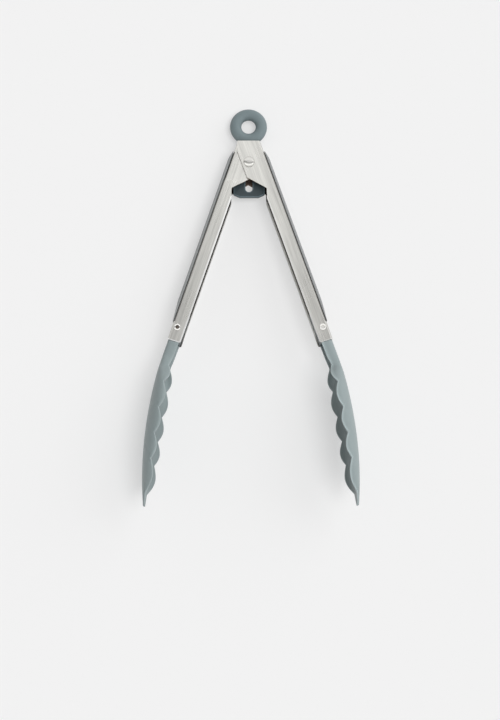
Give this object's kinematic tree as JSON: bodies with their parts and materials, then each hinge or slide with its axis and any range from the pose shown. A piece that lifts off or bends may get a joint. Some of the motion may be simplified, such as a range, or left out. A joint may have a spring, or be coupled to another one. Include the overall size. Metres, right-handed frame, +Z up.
{
  "type": "kitchen tongs",
  "caption": "Locking kitchen tongs: sprung folded steel arms with grips, soft scalloped scoop heads and a pull ring that slides a lock tab.",
  "frame": {"origin": "centre of the bottom of the box round the tongs as they lie, sprung open, on their side", "axes": "+Y from the heads to the pull ring, +Z up, +X towards the arm whose ears lie outside"},
  "size_m": [0.1216, 0.234, 0.042],
  "materials": {
    "brushed_stainless_steel": "stainless steel brushed along the arm",
    "polished_stainless_steel": "polished stainless steel",
    "spring_steel": "drawn spring wire",
    "moulded_nylon": "moulded, satin",
    "moulded_silicone": "moulded silicone, matt",
    "grip_silicone": "moulded silicone, matt"
  },
  "bodies": {
    "pivot": {"pivot_rivet": "polished_stainless_steel", "pivot_sleeve": "polished_stainless_steel", "torsion_spring": "spring_steel"},
    "right_arm": {"right_arm": "brushed_stainless_steel", "right_grip": "grip_silicone", "right_head_core": "moulded_nylon", "right_head_cover": "moulded_silicone", "right_head_rivet": "polished_stainless_steel"},
    "left_arm": {"left_arm": "brushed_stainless_steel", "left_grip": "grip_silicone", "left_head_core": "moulded_nylon", "left_head_cover": "moulded_silicone", "left_head_rivet": "polished_stainless_steel"},
    "lock": {"lock_tab": "moulded_nylon", "ring_cover": "moulded_silicone"}
  },
  "joints": [
    {"name": "right_arm_hinge", "type": "hinge", "parent": "pivot", "child": "right_arm", "pos_m": [0, 0.08242, 0.0079], "axis": [0, -0.0843, -0.9964], "range_deg": [0, 16.2], "stiffness_Nm_per_rad": 0.6, "springref_deg": -14.32, "deforming": ["torsion_spring"]},
    {"name": "left_arm_hinge", "type": "hinge", "parent": "pivot", "child": "left_arm", "pos_m": [0, 0.08242, 0.0079], "axis": [0, 0.0843, 0.9964], "range_deg": [0, 16.2], "stiffness_Nm_per_rad": 0.6, "springref_deg": -14.32},
    {"name": "lock_slide", "type": "slide", "parent": "pivot", "child": "lock", "axis": [0, 0.9964, -0.0843], "range_m": [0, 0.0145]}
  ],
  "couplings": [
    {"joint": "left_arm_hinge", "follows": "right_arm_hinge", "ratio": 1}
  ]
}
